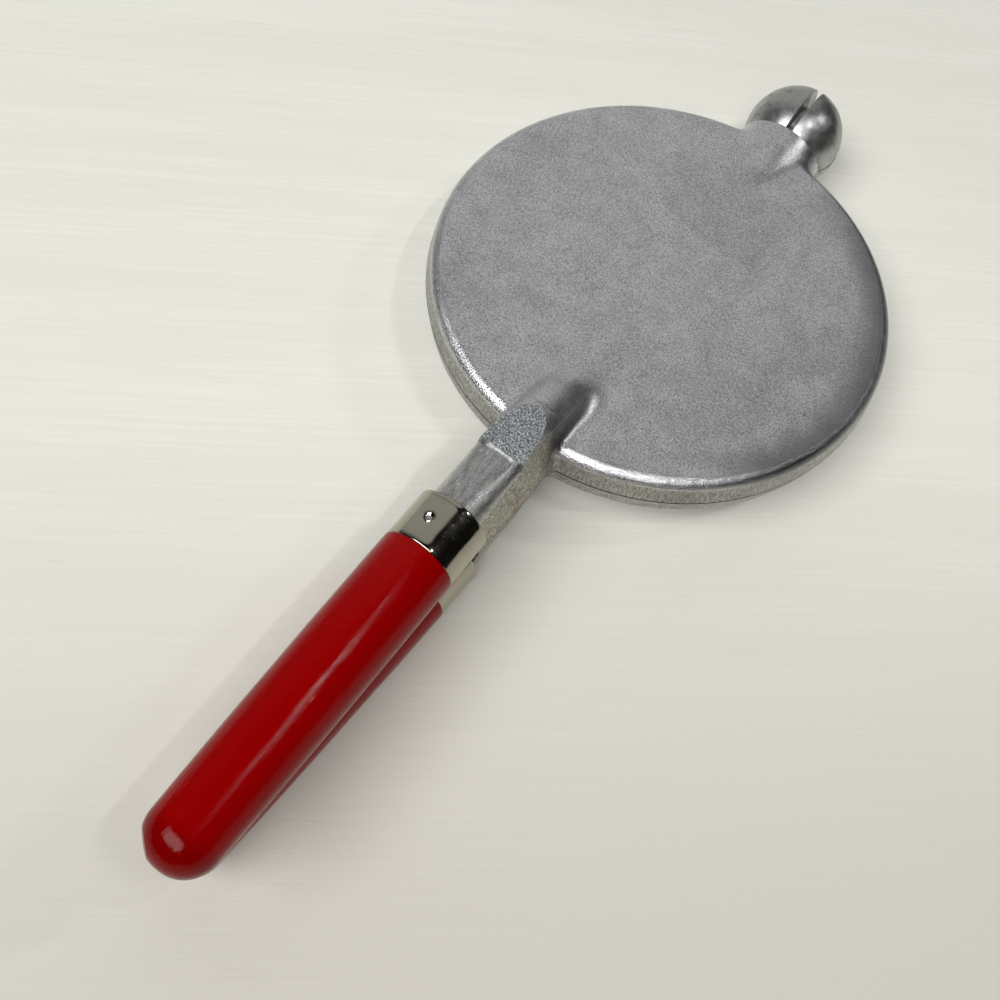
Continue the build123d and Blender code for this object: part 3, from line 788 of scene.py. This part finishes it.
def blend_section(share):
    """Points from the plate up the hump, on a curve tangent to both, at one station of one side."""
    rise = BLEND_RISE[0] + (BLEND_RISE[1] - BLEND_RISE[0]) * share ** BLEND_RISE_GROWTH
    top_x, top_y = outline_point(share, HALF_HEIGHT + rise)
    below_x, below_y = outline_point(share, HALF_HEIGHT + rise - HEIGHT_NUDGE)
    corner_x = top_x + (below_x - top_x) / HEIGHT_NUDGE * rise
    corner_y = top_y + (below_y - top_y) / HEIGHT_NUDGE * rise
    away = away_from_foot(share)
    reach = math.hypot(rise, math.hypot(corner_x - top_x, corner_y - top_y))
    start_x = corner_x + away.x * reach
    start_y = corner_y + away.y * reach
    points = []
    for step in range(BLEND_STEPS + 1):
        u = step / BLEND_STEPS
        first, second, third = (1.0 - u) ** 2, 2.0 * u * (1.0 - u), u * u
        dip = BLEND_SINK * (2.0 * abs(u - 0.5)) ** BLEND_SINK_POWER
        points.append((
            first * start_x + second * corner_x + third * top_x - away.x * dip * u,
            first * start_y + second * corner_y + third * top_y - away.y * dip * u,
            HALF_HEIGHT + third * rise - dip,
        ))
    return points


def make_hump_blend(half, material):
    """Strip that runs the nose and flanks of a hump softly into the plate."""
    sections = [blend_section(step / BLEND_STATIONS) for step in range(BLEND_STATIONS + 1)]
    left = [[(-x, y, z) for x, y, z in section] for section in sections]
    strip = left + sections[-2::-1]
    verts = []
    faces = []
    for row, section in enumerate(strip):
        for step, point in enumerate(section):
            verts.append(point)
            if row and step:
                here = row * (BLEND_STEPS + 1) + step
                before = here - BLEND_STEPS - 1
                faces.append((before - 1, before, here, here - 1))
    lift = Matrix.Translation((0.0, 0.0, PARTING_HEIGHT))
    piece = mesh_piece(half + "_hump_blend", half, verts, faces, lift @ mirrored(half), material)


# ---- handles ----------------------------------------------------------------
HANDLE_STEPS = 128
HANDLE_ROWS = 150
DOME_ROWS = 28
FRONT_ROUND = 0.4 * MM
FRONT_ROUND_ROWS = 6
CLOSED_RADIUS = 0.02 * MM        # what is left open in the middle of the end
WAVER_SHARE = 0.00545            # unevenness of the turned side, of its radius
WAVER_PITCH = (90.0, 45.0)       # its waves per metre, across and along
WAVER_FADE = 4.0 * MM            # it grows from nothing over this length behind the ferrule
WAVER_SEEDS = {"upper": 3.0, "lower": 11.0}
KNOCK_REACH = 9.3 * MM           # worn flat on the end: distance of its plane from the dome centre
KNOCK_SIDES = {"upper": (-0.60, -0.78, 0.18), "lower": (0.50, -0.80, 0.30)}
KNOCK_LIMIT = 4.0 * MM           # it ends this far in front of the dome
KNOCK_SHARE = 0.9                # how much of what stands over the plane is worn off
DOME_START = HANDLE_END + HANDLE_DOME


def handle_outline():
    lip = front_corner(HANDLE_FRONT_RADIUS, FERRULE_REAR, FRONT_ROUND, FRONT_ROUND_ROWS)
    side_middle = (
        (HANDLE_FRONT_RADIUS + HANDLE_END_RADIUS) / 2.0 + HANDLE_SWELL,
        (FERRULE_REAR + DOME_START) / 2.0,
    )
    side = arc_points(lip[-1], side_middle, (HANDLE_END_RADIUS, DOME_START), HANDLE_ROWS)
    width = HANDLE_END_RADIUS - HANDLE_TIP_RADIUS
    corner = math.sqrt(0.5)
    dome_middle = (HANDLE_TIP_RADIUS + width * corner, HANDLE_END + HANDLE_DOME * (1.0 - corner))
    dome = arc_points(side[-1], dome_middle, (HANDLE_TIP_RADIUS, HANDLE_END), DOME_ROWS)
    return [(FERRULE_LIP_RADIUS, FERRULE_REAR)] + lip + side[1:] + dome[1:] + [(CLOSED_RADIUS, HANDLE_END)]


def make_handle(half, material):
    """Turned handle with a slightly uneven side and a worn flat on its end."""
    knock = Vector(KNOCK_SIDES[half]).normalized()
    dome_centre = Vector((0.0, DOME_START, 0.0))
    pitch_across, pitch_along = WAVER_PITCH

    def shift(radius, angle, y):
        across = math.sin(angle) * radius * pitch_across
        up = math.cos(angle) * radius * pitch_across
        fade = min(1.0, max(0.0, (FERRULE_REAR - y) / WAVER_FADE))
        waver = WAVER_SHARE * wave(across, y * pitch_along, up, WAVER_SEEDS[half])
        moved = radius * (1.0 + fade * waver)
        point = Vector((math.sin(angle) * moved, y, math.cos(angle) * moved)) - dome_centre
        over = point.dot(knock) - KNOCK_REACH
        if over > 0.0 and y < DOME_START + KNOCK_LIMIT:
            moved -= over * KNOCK_SHARE
        return moved

    verts, faces = lathe(handle_outline(), HANDLE_STEPS, shift)
    piece = mesh_piece(half + "_turned_handle", half, verts, faces, half_frame(half), material)
    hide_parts(half + "_handle")


# ---- ferrules and brads -----------------------------------------------------
FERRULE_STEPS = 260
FERRULE_ROW = 0.35 * MM
LIP_DEPTH = 0.8 * MM             # the inner edge of the rim is drawn this deep
LIP_ROLL = 0.8 * MM              # rounding of the rolled front rim
LIP_ROLL_ROWS = 8
LIP_BEAD = 0.08 * MM             # the roll stands this much proud, with a faint dip behind it
LIP_BEAD_WAVE = 0.7 * MM
LIP_BEAD_FADE = 0.9 * MM
TURN_IN = 0.18 * MM              # the rear edge is pressed into the wood
TURN_IN_FADE = 0.35 * MM
DISH_SPREAD = 0.62 * DISH_RADIUS
DENT_DEPTH = 0.03 * MM
DENT_PITCH = (3.2, 260.0)        # dents round the tube, and per metre along it
DENT_SEEDS = {"upper": 5.0, "lower": 17.0}
BRAD_HOLE_RADIUS = 1.50 * MM
BRAD_HOLE_DEPTH = 0.45 * MM
BRAD_HOLE_POWER = 8              # high for a hole with a flat floor
BRAD_DOME_RADIUS = 1.05 * MM
BRAD_DOME_HEIGHT = 0.52 * MM
BRAD_NICK_HALF = 0.14 * MM       # half width of the hammer nick across the head
BRAD_NICK_DEPTH = 0.12 * MM
BRAD_NICK_TURN = 0.7             # radians
BRAD_NICK_BEND = 0.25
BRAD_NICK_POWER = 4              # high for a nick that stays deep almost to the edge of the head
BRAD_RELIEF = 0.04 * MM
BRAD_RELIEF_PITCH = 2600.0       # its bumps per metre
BRAD_RELIEF_SEED = 2.0
BRAD_RINGS = 22
BRAD_STEPS = 44
SHADE_RING_INNER = 0.9 * BRAD_DOME_RADIUS
SHADE_RING_OUTER = 1.40 * MM          # ring of painted shade between the head and its hole
SHADE_RING_RISE = 0.26 * MM
SHADE_RING_WAVER = 0.05               # unevenness of the ring, of its radius
SHADE_RING_LOBES = 3.0
BRAD_SEAT = FERRULE_RADIUS - DISH_DEPTH - BRAD_HOLE_DEPTH


def ferrule_outline():
    roll = front_corner(FERRULE_RADIUS, FERRULE_FRONT, LIP_ROLL, LIP_ROLL_ROWS)
    roll_end = FERRULE_FRONT - LIP_ROLL
    length = roll_end - FERRULE_REAR
    rows = int(length / FERRULE_ROW)
    outline = [(FERRULE_LIP_RADIUS, FERRULE_FRONT - LIP_DEPTH), (FERRULE_LIP_RADIUS, FERRULE_FRONT)] + roll
    for row in range(1, rows + 1):
        back = length * row / rows
        bead = LIP_BEAD * math.cos(back / LIP_BEAD_WAVE) * math.exp(-back / LIP_BEAD_FADE)
        press = TURN_IN * math.exp(-(length - back) / TURN_IN_FADE)
        outline.append((FERRULE_RADIUS + bead - press, roll_end - back))
    return outline + [(FERRULE_LIP_RADIUS, FERRULE_REAR)]


def make_ferrule(half, material):
    """Plated tube with a rolled rim, a soft dish round the brad and small dents."""
    brad_angle = -math.radians(BRAD_ANGLE)
    dents_round, dents_along = DENT_PITCH

    def shift(radius, angle, y):
        if radius < FERRULE_RADIUS - LIP_ROLL:
            return radius
        around = math.remainder(angle - brad_angle, 2.0 * math.pi) * FERRULE_RADIUS
        away = math.hypot(around, y - BRAD_Y)
        dish = DISH_DEPTH * math.exp(-(away / DISH_SPREAD) ** 2)
        hole = BRAD_HOLE_DEPTH * max(0.0, 1.0 - (away / BRAD_HOLE_RADIUS) ** BRAD_HOLE_POWER)
        across = math.sin(angle) * dents_round
        up = math.cos(angle) * dents_round
        dents = DENT_DEPTH * wave(across, y * dents_along, up, DENT_SEEDS[half])
        return radius - dish - hole + dents

    verts, faces = lathe(ferrule_outline(), FERRULE_STEPS, shift)
    piece = mesh_piece(half + "_rolled_ferrule", half, verts, faces, half_frame(half), material)
    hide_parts(half + "_ferrule")


def brad_frame(half):
    """Matrix from a brad's own frame, on the floor of its hole with Z outward, to the object frame."""
    side = Matrix.Rotation(-math.radians(BRAD_ANGLE), 4, "Y")
    outward = Matrix.Translation((0.0, 0.0, BRAD_SEAT))
    return half_frame(half) @ Matrix.Translation((0.0, BRAD_Y, 0.0)) @ side @ outward


def brad_height(x, y, share):
    """Height of the head at a point; share runs from 0 in the middle to 1 at the edge."""
    lean = x * math.cos(BRAD_NICK_TURN) + y * math.sin(BRAD_NICK_TURN)
    lean += BRAD_NICK_BEND * y * abs(y) / BRAD_DOME_RADIUS
    nick = BRAD_NICK_DEPTH * math.exp(-(lean / BRAD_NICK_HALF) ** 2) * (1.0 - share ** BRAD_NICK_POWER)
    rough = BRAD_RELIEF * wave(x * BRAD_RELIEF_PITCH, y * BRAD_RELIEF_PITCH, 0.0, BRAD_RELIEF_SEED)
    return BRAD_DOME_HEIGHT * math.cos(share * math.pi / 2.0) - nick + rough


def make_brad(half, material):
    """Small domed nail head in its hole, with one hammer nick across it."""
    verts = []
    faces = []
    for ring in range(BRAD_RINGS + 1):
        share = ring / BRAD_RINGS
        radius = BRAD_DOME_RADIUS * math.sin(share * math.pi / 2.0)
        for step in range(BRAD_STEPS):
            angle = 2.0 * math.pi * step / BRAD_STEPS
            x, y = radius * math.cos(angle), radius * math.sin(angle)
            verts.append((x, y, brad_height(x, y, share)))
            if ring:
                here = ring * BRAD_STEPS + step
                after = ring * BRAD_STEPS + (step + 1) % BRAD_STEPS
                faces.append((here - BRAD_STEPS, here, after, after - BRAD_STEPS))
    piece = mesh_piece(half + "_brad_head", half, verts, faces, brad_frame(half), material)
    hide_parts(half + "_ferrule_brad")


def make_brad_shade_ring(half, material):
    """Ring of painted shade round the nail head."""
    middle = (BRAD_DOME_RADIUS + SHADE_RING_OUTER) / 2.0
    outline = [(SHADE_RING_INNER, SHADE_RING_RISE / 2.0), (middle, SHADE_RING_RISE), (SHADE_RING_OUTER, SHADE_RING_RISE / 2.0)]

    def shift(radius, angle, height):
        return radius * (1.0 + SHADE_RING_WAVER * math.sin(SHADE_RING_LOBES * angle))

    verts, faces = lathe(outline, BRAD_STEPS, shift)
    upright = Matrix.Rotation(math.radians(90.0), 4, "X")
    mesh_piece(half + "_brad_shade_ring", half, verts, faces, brad_frame(half) @ upright, material)


# ---- scene ------------------------------------------------------------------
def dress(node, material):
    """Give a node of the model its material."""
    mesh = NODES[node].data
    mesh.materials.clear()
    mesh.materials.append(material)


make_camera()
make_floor()
make_world()
for lamp in LAMPS:
    make_lamp(*lamp)
casting = cast_aluminium()
nickel = nickel_plate()
lacquer = red_lacquer()
steel = plain_steel()
shade_ring = dark_shade_ring()
dress("upper_plate", casting)
dress("lower_plate", casting)
dress("hinge_pin", steel)
for half in ("upper", "lower"):
    make_hump_blend(half, casting)
    make_ferrule(half, nickel)
    make_handle(half, lacquer)
    make_brad(half, steel)
    make_brad_shade_ring(half, shade_ring)

bpy.context.scene.view_settings.view_transform = "Standard"
